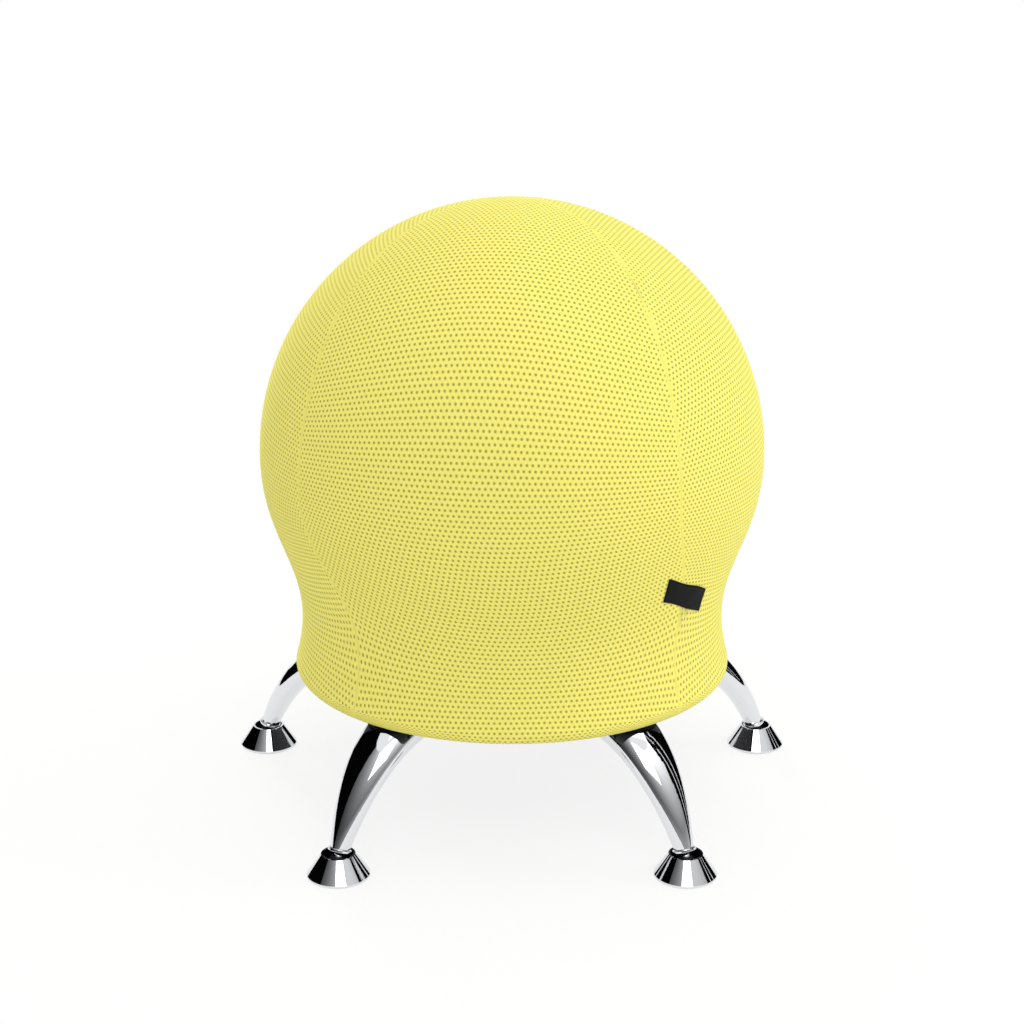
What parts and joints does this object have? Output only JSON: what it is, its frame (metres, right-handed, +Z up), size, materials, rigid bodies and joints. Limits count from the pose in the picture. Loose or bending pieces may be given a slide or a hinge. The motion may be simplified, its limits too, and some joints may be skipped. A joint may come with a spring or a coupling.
{
  "type": "balance ball chair",
  "caption": "Round seat of an inflated ball in a stretched mesh cover, on a low ring base with curved tapering chrome legs and levelling cup feet.",
  "frame": {"origin": "on the floor, at the middle of the footprint; the upright axis of the ball stands 25.7 mm in front of it", "axes": "+Z up, -Y towards the front, where the view comes from, +X to that view's right"},
  "size_m": [0.569, 0.544, 0.5843],
  "materials": {
    "yellow_mesh": "stretched knitted mesh",
    "ball_vinyl": "smooth soft vinyl",
    "plug_plastic": "moulded",
    "black_label": "woven, bare",
    "black_fabric": "plain woven",
    "black_steel": "satin powder coat",
    "zinc_steel": "zinc plated",
    "chrome": "bright polished plating",
    "black_nylon": "moulded",
    "black_rubber": "matt",
    "zip_nylon": "coil",
    "zip_metal": "black enamel"
  },
  "bodies": {
    "frame": {"ball": "ball_vinyl", "valve_seat": "ball_vinyl", "mesh_cover": "yellow_mesh", "side_tag": "black_label", "bottom_panel": "black_fabric", "base_ring": "black_steel", "base_pan": "black_steel", "weld_nuts": "zinc_steel", "leg_bolts": "zinc_steel", "leg_washers": "zinc_steel", "zip_tape": "black_fabric", "zip_coil": "zip_nylon", "leg_1": "chrome", "leg_flange_1": "black_steel", "leg_insert_1": "zinc_steel", "leg_2": "chrome", "leg_flange_2": "black_steel", "leg_insert_2": "zinc_steel", "leg_3": "chrome", "leg_flange_3": "black_steel", "leg_insert_3": "zinc_steel", "leg_4": "chrome", "leg_flange_4": "black_steel", "leg_insert_4": "zinc_steel", "leg_5": "chrome", "leg_flange_5": "black_steel", "leg_insert_5": "zinc_steel"},
    "valve_plug": {"valve_plug": "plug_plastic"},
    "zip_slider": {"zip_slider": "zip_metal"},
    "zip_pull": {"zip_pull": "zip_metal"},
    "stem_1": {"foot_stem_1": "chrome"},
    "foot_1": {"foot_cup_1": "chrome", "foot_socket_1": "black_nylon", "foot_pad_1": "black_rubber"},
    "stem_2": {"foot_stem_2": "chrome"},
    "foot_2": {"foot_cup_2": "chrome", "foot_socket_2": "black_nylon", "foot_pad_2": "black_rubber"},
    "stem_3": {"foot_stem_3": "chrome"},
    "foot_3": {"foot_cup_3": "chrome", "foot_socket_3": "black_nylon", "foot_pad_3": "black_rubber"},
    "stem_4": {"foot_stem_4": "chrome"},
    "foot_4": {"foot_cup_4": "chrome", "foot_socket_4": "black_nylon", "foot_pad_4": "black_rubber"},
    "stem_5": {"foot_stem_5": "chrome"},
    "foot_5": {"foot_cup_5": "chrome", "foot_socket_5": "black_nylon", "foot_pad_5": "black_rubber"}
  },
  "joints": [
    {"name": "valve_plug_pull", "type": "slide", "parent": "frame", "child": "valve_plug", "axis": [-0.4204, 0.5787, -0.6988], "range_m": [0, 0.02]},
    {"name": "zip_travel", "type": "hinge", "parent": "frame", "child": "zip_slider", "pos_m": [0, -0.02566, 0.1227], "axis": [0, 0, 1], "range_deg": [0, 43.6]},
    {"name": "zip_pull_swing", "type": "hinge", "parent": "zip_slider", "child": "zip_pull", "pos_m": [-0.04612, 0.1566, 0.1169], "axis": [-0.2453, 0.9694, 0], "range_deg": [-80, 80]},
    {"name": "foot_level_1", "type": "slide", "parent": "frame", "child": "stem_1", "axis": [-0.2154, -0.2965, -0.9304], "range_m": [0, 0.008]},
    {"name": "foot_tilt_1", "type": "hinge", "parent": "stem_1", "child": "foot_1", "pos_m": [-0.15794, -0.24304, 0.0181], "axis": [0.809, -0.5878, 0], "range_deg": [-8, 8]},
    {"name": "foot_level_2", "type": "slide", "parent": "frame", "child": "stem_2", "axis": [0.2154, -0.2965, -0.9304], "range_m": [0, 0.008]},
    {"name": "foot_tilt_2", "type": "hinge", "parent": "stem_2", "child": "foot_2", "pos_m": [0.15794, -0.24304, 0.0181], "axis": [0.809, 0.5878, 0], "range_deg": [-8, 8]},
    {"name": "foot_level_3", "type": "slide", "parent": "frame", "child": "stem_3", "axis": [0.3486, 0.1133, -0.9304], "range_m": [0, 0.008]},
    {"name": "foot_tilt_3", "type": "hinge", "parent": "stem_3", "child": "foot_3", "pos_m": [0.25555, 0.05737, 0.0181], "axis": [-0.309, 0.9511, 0], "range_deg": [-8, 8]},
    {"name": "foot_level_4", "type": "slide", "parent": "frame", "child": "stem_4", "axis": [0, 0.3665, -0.9304], "range_m": [0, 0.008]},
    {"name": "foot_tilt_4", "type": "hinge", "parent": "stem_4", "child": "foot_4", "pos_m": [0, 0.24304, 0.0181], "axis": [-1, 0, 0], "range_deg": [-8, 8]},
    {"name": "foot_level_5", "type": "slide", "parent": "frame", "child": "stem_5", "axis": [-0.3486, 0.1133, -0.9304], "range_m": [0, 0.008]},
    {"name": "foot_tilt_5", "type": "hinge", "parent": "stem_5", "child": "foot_5", "pos_m": [-0.25555, 0.05737, 0.0181], "axis": [-0.309, -0.9511, 0], "range_deg": [-8, 8]}
  ]
}
